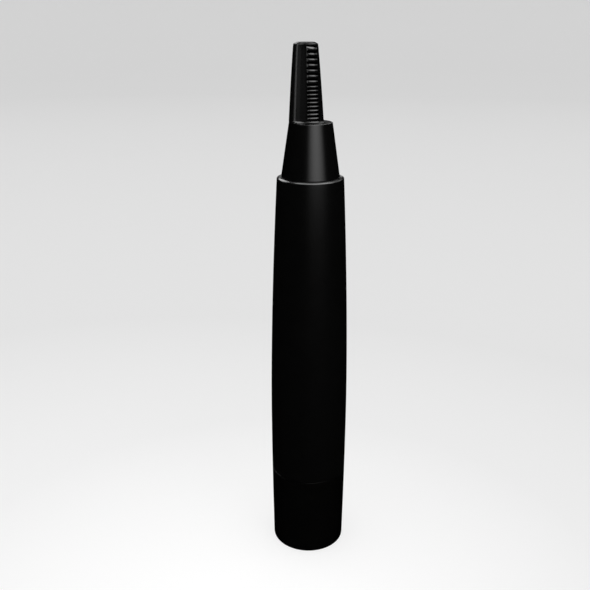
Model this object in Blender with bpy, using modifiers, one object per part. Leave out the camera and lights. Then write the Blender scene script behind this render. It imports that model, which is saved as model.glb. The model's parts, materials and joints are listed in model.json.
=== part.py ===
"""Battery nose hair trimmer with a reciprocating comb cutter, modelled as an assembly of separate pieces.

The trimmer stands on its flat battery cap: the origin is the centre of that flat face and +Z points to the tip.
The switch is on the +Y side, and the cutting slots are in the +X half of the tip.
Every size below is in millimetres. The helpers multiply by MM, so the scene itself is in metres.
"""

import math

import bmesh
import bpy
from mathutils import Matrix, Vector

MM = 0.001

# ---------------------------------------------------------------- driving dimensions
TOTAL_HEIGHT = 145.0
ROUND_SIDES = 32
SMALL_SIDES = 16
TIP_SIDES = 24

# Handle outline: a barrel, widest at BELLY_Z, that narrows to both ends by one power law
BELLY_RADIUS = 10.91
BELLY_Z = 43.5
BASE_DROP = 0.46
SHOULDER_DROP = 2.01
BARREL_POWER = 1.74
SHOULDER_Z = 110.9
SHOULDER_RISE = 0.5
BASE_EDGE = 0.25

# Joints of the shells
CAP_TOP = 24.0
SEAM = 0.15
CAP_FLOOR = 2.0
SPIGOT_HEIGHT = 5.0
NECK_BASE_Z = 111.45
NECK_BASE_RADIUS = 7.72
NECK_TOP_Z = 125.35
NECK_TOP_RADIUS = 5.66
HEAD_BORE = 7.2

# Tip: a cone whose axis stands off to -X and leans a little further that way
TIP_BASE_Z = 125.4
TIP_BASE_RADIUS = 4.52
TIP_TOP_RADIUS = 3.10
TIP_OFFSET = -1.16
TIP_LEAN = -0.0133
GUARD_WALL = 0.62
GUARD_ROOF = 0.8
GUARD_EDGE = 0.45
FLANGE_RADIUS = 5.25
FLANGE_THICKNESS = 0.9
BLADE_GAP = 0.12
BLADE_WALL = 0.45
BLADE_BOTTOM = 119.1
BLADE_TOP_MARGIN = 0.2
LEDGE_Z = 125.45

# Slots: sixteen in front, wider apart near the end than near the neck, and fifteen between them in the rear
TOP_SLOT_Z = 144.03
COARSE_SLOTS = 7
COARSE_PITCH = 1.30
FINE_SLOTS = 8
FINE_PITCH = 0.955
SLOT_HEIGHT = 0.56
BLADE_SLOT_HEIGHT = 0.36
SLOT_INNER_X = 0.05
SLOT_FLOOR_Y = 0.9
SLOT_REACH_Y = 6.0
SLOT_OUTER_X_TOP = 2.8
SLOT_OUTER_X_BOTTOM = 3.15
SLOT_TILT_TOP = math.radians(5.0)
SLOT_TILT_BOTTOM = math.radians(1.0)

# Battery: one AA cell
CELL_RADIUS = 7.1
CELL_BOTTOM = 8.0
CELL_TOP = 57.3
CELL_BUTTON_RADIUS = 2.7
CELL_BUTTON_TOP = 58.5

# Chassis
SLEEVE_INNER = 7.35
SLEEVE_OUTER = 7.9
SLEEVE_BOTTOM = 12.0
CELL_WALL_Z = 60.0
CELL_WALL_TOP = 61.5
MOTOR_BAY_RADIUS = 6.6
MOTOR_PLATE_Z = 87.0
MOTOR_PLATE_TOP = 88.5
POST_Y = 5.7
POST_RADIUS = 1.25
TOP_PLATE_Z = 99.3
TOP_PLATE_TOP = 101.2

# Motor
CAN_RADIUS = 6.4
CAN_WALL = 0.6
CAN_BOTTOM = 68.5
CAN_TOP = 86.5
SHAFT_RADIUS = 0.75
SHAFT_BOTTOM = 66.6
SHAFT_TOP = 95.5
SHAFT_BORE = 0.83
MOTOR_SCREW_X = 4.2

# Drive: a slanted cam face lifts a tappet that stands beside the axis
CAM_RADIUS = 3.6
CAM_BOTTOM = 90.3
CAM_FACE_Z = 96.4
STROKE = 1.0
TAPPET_X = -2.2
TAPPET_RADIUS = 0.8
TAPPET_BOTTOM = 97.75
TAPPET_TOP = 105.0

# Switch
POCKET_Y = 9.35
POCKET_HALF_WIDTH = 4.2
POCKET_BOTTOM = 72.5
POCKET_TOP = 90.5
KNOB_HALF_WIDTH = 3.6
KNOB_BOTTOM = 74.0
KNOB_LENGTH = 10.0
KNOB_FACE_Y = 10.75
KNOB_RIDGES = 6
SWITCH_SLOT_BOTTOM = 78.0
SWITCH_SLOT_TOP = 84.0
SWITCH_TRAVEL = 3.5

# Electrical strips
STRIP_HALF_WIDTH = 1.2
STRIP_THICKNESS = 0.25
STRIP_Y = 8.05
CONTACT_Y = 6.6

# ---------------------------------------------------------------- materials
FINISHES = {
    "black_plastic": ((0.012, 0.012, 0.013), 0.42, 0.0),
    "tip_black": ((0.012, 0.012, 0.014), 0.25, 0.0),
    "blade_steel": ((0.06, 0.06, 0.065), 0.35, 1.0),
    "frame_plastic": ((0.30, 0.31, 0.32), 0.5, 0.0),
    "drive_plastic": ((0.75, 0.75, 0.72), 0.4, 0.0),
    "rubber": ((0.03, 0.03, 0.03), 0.8, 0.0),
    "spring_steel": ((0.60, 0.60, 0.60), 0.3, 1.0),
    "contact_nickel": ((0.70, 0.68, 0.62), 0.3, 1.0),
    "motor_steel": ((0.55, 0.56, 0.57), 0.35, 1.0),
    "magnet": ((0.12, 0.11, 0.11), 0.6, 0.3),
    "copper": ((0.72, 0.36, 0.18), 0.35, 1.0),
    "cell_jacket": ((0.05, 0.20, 0.12), 0.4, 0.2),
    "wire_red": ((0.55, 0.04, 0.03), 0.5, 0.0),
    "wire_black": ((0.02, 0.02, 0.02), 0.5, 0.0),
}


def make_material(name):
    """A Principled material with the colour, roughness and metallic value of one finish."""
    material = bpy.data.materials.get(name)
    if material:
        return material
    colour, roughness, metallic = FINISHES[name]
    material = bpy.data.materials.new(name)
    material.use_nodes = True
    shader = material.node_tree.nodes["Principled BSDF"]
    shader.inputs["Base Color"].default_value = (*colour, 1.0)
    shader.inputs["Roughness"].default_value = roughness
    shader.inputs["Metallic"].default_value = metallic
    material.diffuse_color = (*colour, 1.0)
    return material


# ---------------------------------------------------------------- helpers
for old in list(bpy.data.objects):
    bpy.data.objects.remove(old, do_unlink=True)

PARTS = bpy.data.collections.new("nose_hair_trimmer")
TOOLS = bpy.data.collections.new("cutters")
bpy.context.scene.collection.children.link(PARTS)
bpy.context.scene.collection.children.link(TOOLS)


def add_mesh(name, mesh, finish=None):
    """Put a mesh in the scene, as a finished piece, or as a hidden tool when it has no finish."""
    obj = bpy.data.objects.new(name, mesh)
    if finish:
        mesh.materials.clear()
        mesh.materials.append(make_material(finish))
        PARTS.objects.link(obj)
    else:
        TOOLS.objects.link(obj)
        obj.hide_render = True
        obj.display_type = "WIRE"
    return obj


def baked(obj, name, finish):
    """Replace an object by the mesh that its modifiers or its curve make, welded and smooth-shaded."""
    bpy.context.view_layer.update()
    evaluated = obj.evaluated_get(bpy.context.evaluated_depsgraph_get())
    mesh = bpy.data.meshes.new_from_object(evaluated)
    mesh.transform(obj.matrix_world)
    bpy.data.objects.remove(obj, do_unlink=True)
    work = bmesh.new()
    work.from_mesh(mesh)
    bmesh.ops.remove_doubles(work, verts=work.verts, dist=1e-6)
    work.to_mesh(mesh)
    work.free()
    mesh.shade_smooth()
    mesh.set_sharp_from_angle(angle=math.radians(35))
    mesh.name = name
    return add_mesh(name, mesh, finish)


def turned(name, profile, finish=None, closed=True, sides=ROUND_SIDES, centre=(0.0, 0.0)):
    """Turn an (r, z) profile about a vertical line; its outer side runs from top to bottom."""
    mesh = bpy.data.meshes.new(name)
    points = [(radius * MM, 0.0, height * MM) for radius, height in profile]
    edges = [(i, i + 1) for i in range(len(points) - 1)]
    if closed:
        edges.append((len(points) - 1, 0))
    mesh.from_pydata(points, edges, [])
    obj = bpy.data.objects.new(name, mesh)
    PARTS.objects.link(obj)
    obj.location = (centre[0] * MM, centre[1] * MM, 0.0)
    screw = obj.modifiers.new("turn", "SCREW")
    screw.axis = "Z"
    screw.angle = math.tau
    screw.steps = sides
    screw.render_steps = sides
    screw.use_merge_vertices = True
    screw.merge_threshold = 1e-6
    return baked(obj, name, finish)


def rod(name, centre, radius, bottom, top, finish=None, sides=SMALL_SIDES):
    """A plain vertical cylinder."""
    mesh = bpy.data.meshes.new(name)
    work = bmesh.new()
    middle = Vector((centre[0], centre[1], (bottom + top) / 2)) * MM
    bmesh.ops.create_cone(
        work,
        cap_ends=True,
        segments=sides,
        radius1=radius * MM,
        radius2=radius * MM,
        depth=(top - bottom) * MM,
        matrix=Matrix.Translation(middle),
    )
    work.to_mesh(mesh)
    work.free()
    mesh.shade_smooth()
    mesh.set_sharp_from_angle(angle=math.radians(35))
    return add_mesh(name, mesh, finish)


def block(name, low, high, finish=None, bevel=0.0):
    """A box between two corners, with its edges rounded where bevel is more than zero."""
    mesh = bpy.data.meshes.new(name)
    work = bmesh.new()
    bmesh.ops.create_cube(work, size=1.0)
    size = Vector(high) - Vector(low)
    middle = (Vector(high) + Vector(low)) / 2
    bmesh.ops.transform(work, matrix=Matrix.Diagonal((*(size * MM), 1.0)), verts=work.verts)
    bmesh.ops.transform(work, matrix=Matrix.Translation(middle * MM), verts=work.verts)
    work.to_mesh(mesh)
    work.free()
    obj = add_mesh(name, mesh, finish)
    if bevel:
        rounding = obj.modifiers.new("edges", "BEVEL")
        rounding.width = bevel * MM
        rounding.segments = 2
    return obj


# Columns of these are the world directions of an outline's own X, its own Y and its extrusion
PLANES = {
    "XY": Matrix.Identity(4),
    "YZ": Matrix(((0, 0, 1, 0), (1, 0, 0, 0), (0, 1, 0, 0), (0, 0, 0, 1))),
    "XZ": Matrix(((1, 0, 0, 0), (0, 0, -1, 0), (0, 1, 0, 0), (0, 0, 0, 1))),
}


def plate(name, outline, near, far, finish=None, plane="XY"):
    """Extrude a flat outline between two distances along its plane's normal."""
    curve = bpy.data.curves.new(name, "CURVE")
    curve.dimensions = "2D"
    curve.fill_mode = "BOTH"
    curve.extrude = (far - near) / 2 * MM
    spline = curve.splines.new("POLY")
    spline.points.add(len(outline) - 1)
    for point, (u, v) in zip(spline.points, outline):
        point.co = (u * MM, v * MM, 0.0, 1.0)
    spline.use_cyclic_u = True
    obj = bpy.data.objects.new(name, curve)
    PARTS.objects.link(obj)
    obj.matrix_world = PLANES[plane] @ Matrix.Translation((0.0, 0.0, (near + far) / 2 * MM))
    return baked(obj, name, finish)


def wire(name, points, radius, finish):
    """A round wire through the given points."""
    curve = bpy.data.curves.new(name, "CURVE")
    curve.dimensions = "3D"
    curve.bevel_depth = radius * MM
    curve.bevel_resolution = 2
    curve.use_fill_caps = True
    spline = curve.splines.new("POLY")
    spline.points.add(len(points) - 1)
    for point, place in zip(spline.points, points):
        point.co = (*(Vector(place) * MM), 1.0)
    obj = bpy.data.objects.new(name, curve)
    PARTS.objects.link(obj)
    return baked(obj, name, finish)


def coil(name, radii, bottom, top, turns, wire_radius, finish):
    """A compression spring between two heights, with a radius that changes evenly from radii[0] to radii[1]."""
    per_turn = 10
    count = int(turns * per_turn)
    points = []
    for i in range(count + 1):
        part = i / count
        angle = part * turns * math.tau
        radius = radii[0] + (radii[1] - radii[0]) * part
        height = bottom + wire_radius + (top - bottom - 2 * wire_radius) * part
        points.append((radius * math.cos(angle), radius * math.sin(angle), height))
    return wire(name, points, wire_radius, finish)


def arc(radius, start, end, steps, centre=(0.0, 0.0)):
    """Points along a circular arc; the angles are in degrees."""
    points = []
    for i in range(steps + 1):
        angle = math.radians(start + (end - start) * i / steps)
        points.append((centre[0] + radius * math.cos(angle), centre[1] + radius * math.sin(angle)))
    return points


def combine(obj, tool, operation):
    """Join a tool to a piece, or cut it away."""
    change = obj.modifiers.new(tool.name, "BOOLEAN")
    change.operation = operation
    change.solver = "EXACT"
    change.object = tool


def cut(obj, *tools):
    for tool in tools:
        combine(obj, tool, "DIFFERENCE")


def join(obj, *tools):
    for tool in tools:
        combine(obj, tool, "UNION")


def joint_frame(name, place, *pieces):
    """Parent the pieces of one moving body to an empty on its joint's axis, without moving them."""
    empty = bpy.data.objects.new(name, None)
    empty.location = Vector(place) * MM
    empty.empty_display_size = 5 * MM
    PARTS.objects.link(empty)
    for piece in pieces:
        piece.parent = empty
        piece.matrix_parent_inverse = Matrix.Translation(-empty.location)
    return empty


# ---------------------------------------------------------------- shared outlines
def handle_radius(height):
    """Outer radius of the handle at a height."""
    if height < BELLY_Z:
        return BELLY_RADIUS - BASE_DROP * ((BELLY_Z - height) / BELLY_Z) ** BARREL_POWER
    reach = (height - BELLY_Z) / (SHOULDER_Z - BELLY_Z)
    return BELLY_RADIUS - SHOULDER_DROP * reach**BARREL_POWER


def handle_side(top, bottom, steps):
    """Outer points of the handle, from a top height down to a bottom one."""
    heights = [top + (bottom - top) * i / steps for i in range(steps + 1)]
    return [(handle_radius(height), height) for height in heights]


def tip_axis_x(height):
    return TIP_OFFSET + TIP_LEAN * (height - TIP_BASE_Z)


def tip_radius(height):
    reach = (height - TIP_BASE_Z) / (TOTAL_HEIGHT - TIP_BASE_Z)
    return TIP_BASE_RADIUS + (TIP_TOP_RADIUS - TIP_BASE_RADIUS) * reach


def lean(obj):
    """Shear a piece modelled on the Z axis so that it follows the tip's own axis."""
    shear = Matrix.Identity(4)
    shear[0][2] = TIP_LEAN
    shear[0][3] = tip_axis_x(0.0) * MM
    obj.data.transform(shear)
    return obj


def slot_heights():
    """Heights of the slots' centres, from the tip's end down."""
    heights = [TOP_SLOT_Z - COARSE_PITCH * i for i in range(COARSE_SLOTS + 1)]
    heights += [heights[-1] - FINE_PITCH * (i + 1) for i in range(FINE_SLOTS)]
    return heights


def mid_heights():
    """Half-way between neighbouring slots: the guard's rear slots and the blade's slots are at these heights."""
    heights = slot_heights()
    return [(upper + lower) / 2 for upper, lower in zip(heights, heights[1:])]


def slot_tool(name, height, opening, inner_x, outer_x, near_y, far_y):
    """A flat box, opening high, that cuts one slot; inner_x and outer_x are from the tip's axis."""
    reach = (height - TIP_BASE_Z) / (TOTAL_HEIGHT - TIP_BASE_Z)
    tilt = SLOT_TILT_BOTTOM + (SLOT_TILT_TOP - SLOT_TILT_BOTTOM) * reach
    middle = Vector((tip_axis_x(height) + (inner_x + outer_x) / 2, (near_y + far_y) / 2, height))
    work = bmesh.new()
    bmesh.ops.create_cube(work, size=1.0)
    size = Vector((outer_x - inner_x, far_y - near_y, opening)) * MM
    place = Matrix.Translation(middle * MM) @ Matrix.Rotation(tilt, 4, "Y")
    bmesh.ops.transform(work, matrix=place @ Matrix.Diagonal((*size, 1.0)), verts=work.verts)
    mesh = bpy.data.meshes.new(name)
    work.to_mesh(mesh)
    work.free()
    return add_mesh(name, mesh)


def merged_tool(name, tools):
    """One tool object from several that don't touch."""
    work = bmesh.new()
    for tool in tools:
        work.from_mesh(tool.data)
        bpy.data.objects.remove(tool, do_unlink=True)
    mesh = bpy.data.meshes.new(name)
    work.to_mesh(mesh)
    work.free()
    return add_mesh(name, mesh)


# ---------------------------------------------------------------- handle
def make_housing_shell():
    shoulder = []
    inner_edge = NECK_BASE_RADIUS + 0.03
    for i in range(5):
        angle = math.pi / 2 * (1 - i / 4)
        radius = inner_edge + (handle_radius(SHOULDER_Z) - inner_edge) * math.cos(angle)
        shoulder.append((radius, SHOULDER_Z + SHOULDER_RISE * math.sin(angle)))
    bottom = CAP_TOP + SEAM
    rebate_radius = 9.95
    rebate_top = bottom + 1.1
    inside = [
        (rebate_radius, bottom),
        (rebate_radius, rebate_top),
        (9.3, rebate_top),
        (9.3, CELL_WALL_TOP),
        (8.45, 63.0),
        (8.45, CAN_TOP),
        (7.6, 92.0),
        (7.6, TOP_PLATE_TOP + 0.1),
        (HEAD_BORE, TOP_PLATE_TOP + 0.1),
        (HEAD_BORE, SHOULDER_Z + SHOULDER_RISE),
    ]
    profile = shoulder + handle_side(SHOULDER_Z, bottom, 10)[1:] + inside
    shell = turned("housing_shell", profile, "black_plastic")
    pocket = block(
        "switch_pocket",
        (-POCKET_HALF_WIDTH, POCKET_Y, POCKET_BOTTOM),
        (POCKET_HALF_WIDTH, POCKET_Y + 3.0, POCKET_TOP),
    )
    slot = block("switch_slot", (-1.7, 7.0, SWITCH_SLOT_BOTTOM), (1.7, 11.0, SWITCH_SLOT_TOP))
    cut(shell, pocket, slot)
    return shell


def make_battery_cap():
    spigot_outer = 9.1
    spigot_inner = 8.5
    cavity = 8.9
    inside = [
        (0.0, CAP_FLOOR),
        (cavity, CAP_FLOOR),
        (cavity, CAP_TOP - 2.5),
        (spigot_inner, CAP_TOP - 1.5),
        (spigot_inner, CAP_TOP + SPIGOT_HEIGHT),
        (spigot_outer, CAP_TOP + SPIGOT_HEIGHT),
        (spigot_outer, CAP_TOP),
    ]
    outside = handle_side(CAP_TOP, BASE_EDGE, 4) + [(handle_radius(0.0) - BASE_EDGE, 0.0), (0.0, 0.0)]
    return turned("battery_cap", inside + outside, "black_plastic", closed=False)


def make_cap_seal():
    low = CAP_TOP + 0.05
    high = low + 1.05
    return turned("cap_seal", [(9.8, high), (9.8, low), (9.15, low), (9.15, high)], "rubber")


def make_chassis():
    """Battery sleeve, the wall above the cell, the motor bay and two posts for the top plate."""
    rib_outer = 9.15
    rib_height = 1.5
    ribs = (CAP_TOP + SPIGOT_HEIGHT + 2.5, CELL_TOP - 0.3)
    wall_hole = 1.3
    boss_hole = 2.3
    plate_outer = 7.3
    profile = [(boss_hole, MOTOR_PLATE_TOP), (plate_outer, MOTOR_PLATE_TOP), (plate_outer, MOTOR_PLATE_Z - 1.0)]
    profile += [(SLEEVE_OUTER, MOTOR_PLATE_Z - 1.0)]
    for rib in reversed(ribs):
        profile += [
            (SLEEVE_OUTER, rib + rib_height),
            (rib_outer, rib + rib_height),
            (rib_outer, rib),
            (SLEEVE_OUTER, rib),
        ]
    profile += [
        (SLEEVE_OUTER, SLEEVE_BOTTOM),
        (SLEEVE_INNER, SLEEVE_BOTTOM),
        (SLEEVE_INNER, CELL_WALL_Z),
        (wall_hole, CELL_WALL_Z),
        (wall_hole, CELL_WALL_TOP),
        (MOTOR_BAY_RADIUS, CELL_WALL_TOP),
        (MOTOR_BAY_RADIUS, MOTOR_PLATE_Z),
        (boss_hole, MOTOR_PLATE_Z),
    ]
    chassis = turned("chassis", profile, "frame_plastic")
    posts = []
    for side in (-1, 1):
        place = (0.0, side * POST_Y)
        post = rod(f"post_{side}", place, POST_RADIUS, MOTOR_PLATE_TOP - 0.6, TOP_PLATE_Z - 0.1)
        bore = rod(f"post_bore_{side}", place, 0.62, 95.0, TOP_PLATE_Z + 1.0)
        posts.append((post, bore))
    for post, bore in posts:
        join(chassis, post)
    for post, bore in posts:
        cut(chassis, bore)
    window = block("switch_window", (-3.4, 4.0, 63.0), (3.4, 10.0, MOTOR_PLATE_Z - 1.5))
    groove = block("strip_groove", (-1.6, SLEEVE_OUTER + 0.06, 20.0), (1.6, 10.0, 62.5))
    cut(chassis, window, groove)
    for side in (-1, 1):
        cut(chassis, rod(f"motor_screw_hole_{side}", (side * MOTOR_SCREW_X, 0.0), 0.9, 86.2, 90.0))
    return chassis


def make_top_plate():
    radius = 7.45
    boss_radius = 1.8
    boss_top = 103.0
    top_plate = rod("top_plate", (0.0, 0.0), radius, TOP_PLATE_Z, TOP_PLATE_TOP, "frame_plastic", ROUND_SIDES)
    join(top_plate, rod("tappet_boss", (TAPPET_X, 0.0), boss_radius, TOP_PLATE_Z + 0.5, boss_top))
    cut(top_plate, rod("tappet_bore", (TAPPET_X, 0.0), TAPPET_RADIUS + 0.06, 90.0, 110.0))
    for side in (-1, 1):
        cut(top_plate, rod(f"plate_screw_hole_{side}", (0.0, side * POST_Y), 0.62, 90.0, 110.0))
    return top_plate


def make_screw(name, place, shank_radius, tip_z, seat_z, head_radius, head_height):
    """A pan-head screw with its point down, and a cross recess in its head."""
    head_top = seat_z + head_height
    profile = [
        (0.0, head_top),
        (head_radius * 0.6, head_top),
        (head_radius, head_top - head_height * 0.45),
        (head_radius, seat_z),
        (shank_radius, seat_z),
        (shank_radius, tip_z + shank_radius),
        (0.0, tip_z),
    ]
    screw = turned(name, profile, "motor_steel", closed=False, sides=SMALL_SIDES, centre=place)
    arm = head_radius * 0.6
    slot = arm * 0.3
    x, y = place
    low = head_top - head_height * 0.45
    cut(screw, block(name + "_recess_x", (x - arm, y - slot, low), (x + arm, y + slot, head_top + 1)))
    cut(screw, block(name + "_recess_y", (x - slot, y - arm, low), (x + slot, y + arm, head_top + 1)))
    return screw


# ---------------------------------------------------------------- battery and its contacts
def make_aa_battery():
    profile = [
        (0.0, CELL_BUTTON_TOP),
        (CELL_BUTTON_RADIUS - 0.3, CELL_BUTTON_TOP),
        (CELL_BUTTON_RADIUS, CELL_BUTTON_TOP - 0.3),
        (CELL_BUTTON_RADIUS, CELL_TOP),
        (CELL_RADIUS - 0.6, CELL_TOP),
        (CELL_RADIUS, CELL_TOP - 0.6),
        (CELL_RADIUS, CELL_BOTTOM + 0.4),
        (CELL_RADIUS - 0.4, CELL_BOTTOM),
        (0.0, CELL_BOTTOM),
    ]
    return turned("aa_battery", profile, "cell_jacket", closed=False)


def make_negative_contact_plate():
    """A round plate under the spring, with a finger that rises beside the strip."""
    low = CAP_FLOOR + 0.1
    thickness = 0.4
    disc_radius = 6.5
    finger_inner = STRIP_Y + STRIP_THICKNESS + 0.12
    finger_outer = 8.7
    finger_top = 16.0
    disc = rod("negative_contact_plate", (0.0, 0.0), disc_radius, low, low + thickness, "contact_nickel", TIP_SIDES)
    outline = [
        (disc_radius - 2.0, low + 0.05),
        (finger_outer, low + 0.05),
        (finger_outer, finger_top),
        (finger_inner, finger_top),
        (finger_inner, low + thickness - 0.05),
        (disc_radius - 2.0, low + thickness - 0.05),
    ]
    join(disc, plate("plate_finger", outline, -STRIP_HALF_WIDTH, STRIP_HALF_WIDTH, plane="YZ"))
    return disc


def make_negative_strip():
    """From the lower end of the sleeve to the switch, where it bends in towards the motor."""
    bend_low = 64.2
    bend_high = 67.6
    outline = [
        (STRIP_Y, SLEEVE_BOTTOM + 0.3),
        (STRIP_Y + STRIP_THICKNESS, SLEEVE_BOTTOM + 0.3),
        (STRIP_Y + STRIP_THICKNESS, bend_low),
        (CONTACT_Y + STRIP_THICKNESS, bend_high),
        (CONTACT_Y + STRIP_THICKNESS, 75.0),
        (CONTACT_Y, 75.0),
        (CONTACT_Y, bend_high - 0.15),
        (STRIP_Y, bend_low - 0.15),
    ]
    return plate(
        "negative_strip", outline, -STRIP_HALF_WIDTH, STRIP_HALF_WIDTH, "contact_nickel", plane="YZ"
    )


def make_positive_contact():
    """A plate above the cell's button, with a solder tab through the wall."""
    low = CELL_BUTTON_TOP + 0.1
    half = 2.6
    tab = 0.6
    tab_top = 63.4
    outline = [
        (-half, low),
        (half, low),
        (half, low + 0.3),
        (tab, low + 0.3),
        (tab, tab_top),
        (-tab, tab_top),
        (-tab, low + 0.3),
        (-half, low + 0.3),
    ]
    return plate("positive_contact", outline, -0.9, 0.9, "contact_nickel", plane="XZ")


# ---------------------------------------------------------------- motor
def make_motor_can():
    boss_radius = 2.0
    boss_top = MOTOR_PLATE_TOP - 0.3
    profile = [
        (SHAFT_BORE, boss_top),
        (boss_radius, boss_top),
        (boss_radius, CAN_TOP),
        (CAN_RADIUS - 0.4, CAN_TOP),
        (CAN_RADIUS, CAN_TOP - 0.4),
        (CAN_RADIUS, CAN_BOTTOM),
        (CAN_RADIUS - CAN_WALL, CAN_BOTTOM),
        (CAN_RADIUS - CAN_WALL, CAN_TOP - CAN_WALL),
        (SHAFT_BORE, CAN_TOP - CAN_WALL),
    ]
    can = turned("motor_can", profile, "motor_steel", sides=32)
    for side in (-1, 1):
        cut(can, rod(f"can_screw_hole_{side}", (side * MOTOR_SCREW_X, 0.0), 0.85, 85.0, 88.0))
    return can


def make_motor_end_cap():
    low = 66.0
    profile = [
        (SHAFT_BORE, CAN_BOTTOM - 0.1),
        (CAN_RADIUS, CAN_BOTTOM - 0.1),
        (CAN_RADIUS, low + 0.4),
        (CAN_RADIUS - 0.4, low),
        (0.0, low),
    ]
    bearing = [(0.0, SHAFT_BOTTOM - 0.1), (SHAFT_BORE, SHAFT_BOTTOM - 0.1)]
    return turned("motor_end_cap", bearing + profile, "drive_plastic", closed=False, sides=32)


def make_magnet(name, middle):
    """One arc magnet, lining a side of the can; middle is the angle of its centre in degrees."""
    half_angle = 58
    outer = arc(CAN_RADIUS - CAN_WALL - 0.1, middle - half_angle, middle + half_angle, 8)
    inner = arc(4.75, middle + half_angle, middle - half_angle, 8)
    return plate(name, outer + inner, 71.0, 84.0, "magnet")


def make_armature_core():
    """Three poles about the shaft."""
    pole_radius = 4.45
    slot_radius = 2.2
    outline = []
    for pole in range(3):
        middle = 120 * pole
        outline += arc(pole_radius, middle - 42, middle + 42, 5)
        outline += arc(slot_radius, middle + 40, middle + 80, 2)
    core = plate("armature_core", outline, 72.5, 82.0, "motor_steel")
    cut(core, rod("core_bore", (0.0, 0.0), SHAFT_RADIUS + 0.05, 70.0, 85.0))
    return core


def make_armature_winding():
    """Copper in the three slots between the poles, joined by a ring at each end of the core."""
    ring_inner = 1.2
    ring_outer = 3.9
    bar_radius = 0.62
    bar_place = 3.2
    low = 71.2
    high = 82.2
    height = 1.1
    profile = [(ring_outer, low + height), (ring_outer, low), (ring_inner, low), (ring_inner, low + height)]
    winding = turned("armature_winding", profile, "copper", sides=TIP_SIDES)
    upper = [(ring_outer, high + height), (ring_outer, high), (ring_inner, high), (ring_inner, high + height)]
    for slot in range(3):
        angle = math.radians(60 + 120 * slot)
        place = (bar_place * math.cos(angle), bar_place * math.sin(angle))
        join(winding, rod(f"winding_bar_{slot}", place, bar_radius, low + 0.5, high + 0.5))
    join(winding, turned("winding_upper_ring", upper, sides=TIP_SIDES))
    return winding


def make_commutator():
    low = 69.0
    high = 70.8
    profile = [(1.9, high), (1.9, low), (SHAFT_RADIUS + 0.05, low), (SHAFT_RADIUS + 0.05, high)]
    return turned("commutator", profile, "copper", sides=TIP_SIDES)


def make_brush(name, side):
    inner = 2.0
    outer = 2.35
    low, high = sorted((side * inner, side * outer))
    return block(name, (low, -0.8, CAN_BOTTOM), (high, 0.8, 70.6), "contact_nickel")


def make_terminal(name, side):
    low, high = sorted((side * 2.85, side * 3.15))
    return block(name, (low, -0.8, 63.6), (high, 0.8, 65.9), "contact_nickel")


# ---------------------------------------------------------------- drive
def make_drive_cam():
    """A cup on the shaft whose top is cut at a slant, so that its height at the tappet changes by the stroke."""
    profile = [
        (0.0, CAM_FACE_Z + 2.0),
        (CAM_RADIUS, CAM_FACE_Z + 2.0),
        (CAM_RADIUS, CAM_BOTTOM + 1.2),
        (CAM_RADIUS - 1.2, CAM_BOTTOM),
        (SHAFT_RADIUS + 0.04, CAM_BOTTOM),
        (SHAFT_RADIUS + 0.04, SHAFT_TOP + 0.1),
        (0.0, SHAFT_TOP + 0.1),
    ]
    cam = turned("drive_cam", profile, "drive_plastic", closed=False, sides=TIP_SIDES)
    slant = math.atan(STROKE / 2 / abs(TAPPET_X))
    work = bmesh.new()
    work.from_mesh(cam.data)
    cut_edges = bmesh.ops.bisect_plane(
        work,
        geom=work.verts[:] + work.edges[:] + work.faces[:],
        plane_co=(0.0, 0.0, CAM_FACE_Z * MM),
        plane_no=(0.0, -math.sin(slant), math.cos(slant)),
        clear_outer=True,
    )["geom_cut"]
    bmesh.ops.contextual_create(work, geom=[item for item in cut_edges if isinstance(item, bmesh.types.BMEdge)])
    work.to_mesh(cam.data)
    work.free()
    return cam


def make_tappet():
    """The push rod: a rounded foot, a collar that keeps it in, and a plain shank."""
    collar_radius = 1.2
    collar_low = TAPPET_BOTTOM + 0.4
    profile = [
        (0.0, TAPPET_TOP),
        (TAPPET_RADIUS - 0.15, TAPPET_TOP),
        (TAPPET_RADIUS, TAPPET_TOP - 0.15),
        (TAPPET_RADIUS, collar_low + 0.6),
        (collar_radius, collar_low + 0.6),
        (collar_radius, collar_low),
        (TAPPET_RADIUS, collar_low),
        (TAPPET_RADIUS * 0.55, TAPPET_BOTTOM + 0.1),
        (0.0, TAPPET_BOTTOM),
    ]
    return turned("tappet", profile, "drive_plastic", closed=False, sides=SMALL_SIDES, centre=(TAPPET_X, 0.0))


def make_tappet_seal():
    low = 103.1
    high = 104.0
    outer = 1.6
    inner = TAPPET_RADIUS + 0.06
    profile = [(outer - 0.4, high), (outer, low + 0.4), (outer, low), (inner, low), (inner, high)]
    return turned("tappet_seal", profile, "rubber", sides=SMALL_SIDES, centre=(TAPPET_X, 0.0))


# ---------------------------------------------------------------- switch
def make_switch_knob():
    """A ridged thumb pad in the shell's pocket, on a stem through the slot."""
    seat_y = POCKET_Y + 0.15
    top = KNOB_BOTTOM + KNOB_LENGTH
    outline = [(seat_y, top), (seat_y, KNOB_BOTTOM), (KNOB_FACE_Y - 0.7, KNOB_BOTTOM)]
    pitch = (KNOB_LENGTH - 2.0) / KNOB_RIDGES
    for ridge in range(KNOB_RIDGES):
        start = KNOB_BOTTOM + 1.0 + pitch * ridge
        outline += [(KNOB_FACE_Y - 0.3, start), (KNOB_FACE_Y, start + pitch * 0.45)]
    outline += [(KNOB_FACE_Y - 0.3, top - 1.0), (KNOB_FACE_Y - 0.7, top)]
    knob = plate("switch_knob", outline, -KNOB_HALF_WIDTH, KNOB_HALF_WIDTH, "black_plastic", plane="YZ")
    stem_low = SWITCH_SLOT_BOTTOM + 0.2
    stem_high = SWITCH_SLOT_TOP - SWITCH_TRAVEL - 0.2
    join(knob, block("knob_stem", (-1.3, 8.1, stem_low), (1.3, seat_y + 0.4, stem_high)))
    return knob


def make_switch_slider():
    return block("switch_slider", (-2.4, 7.2, 70.3), (2.4, 8.0, 81.3), "drive_plastic", bevel=0.15)


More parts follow.
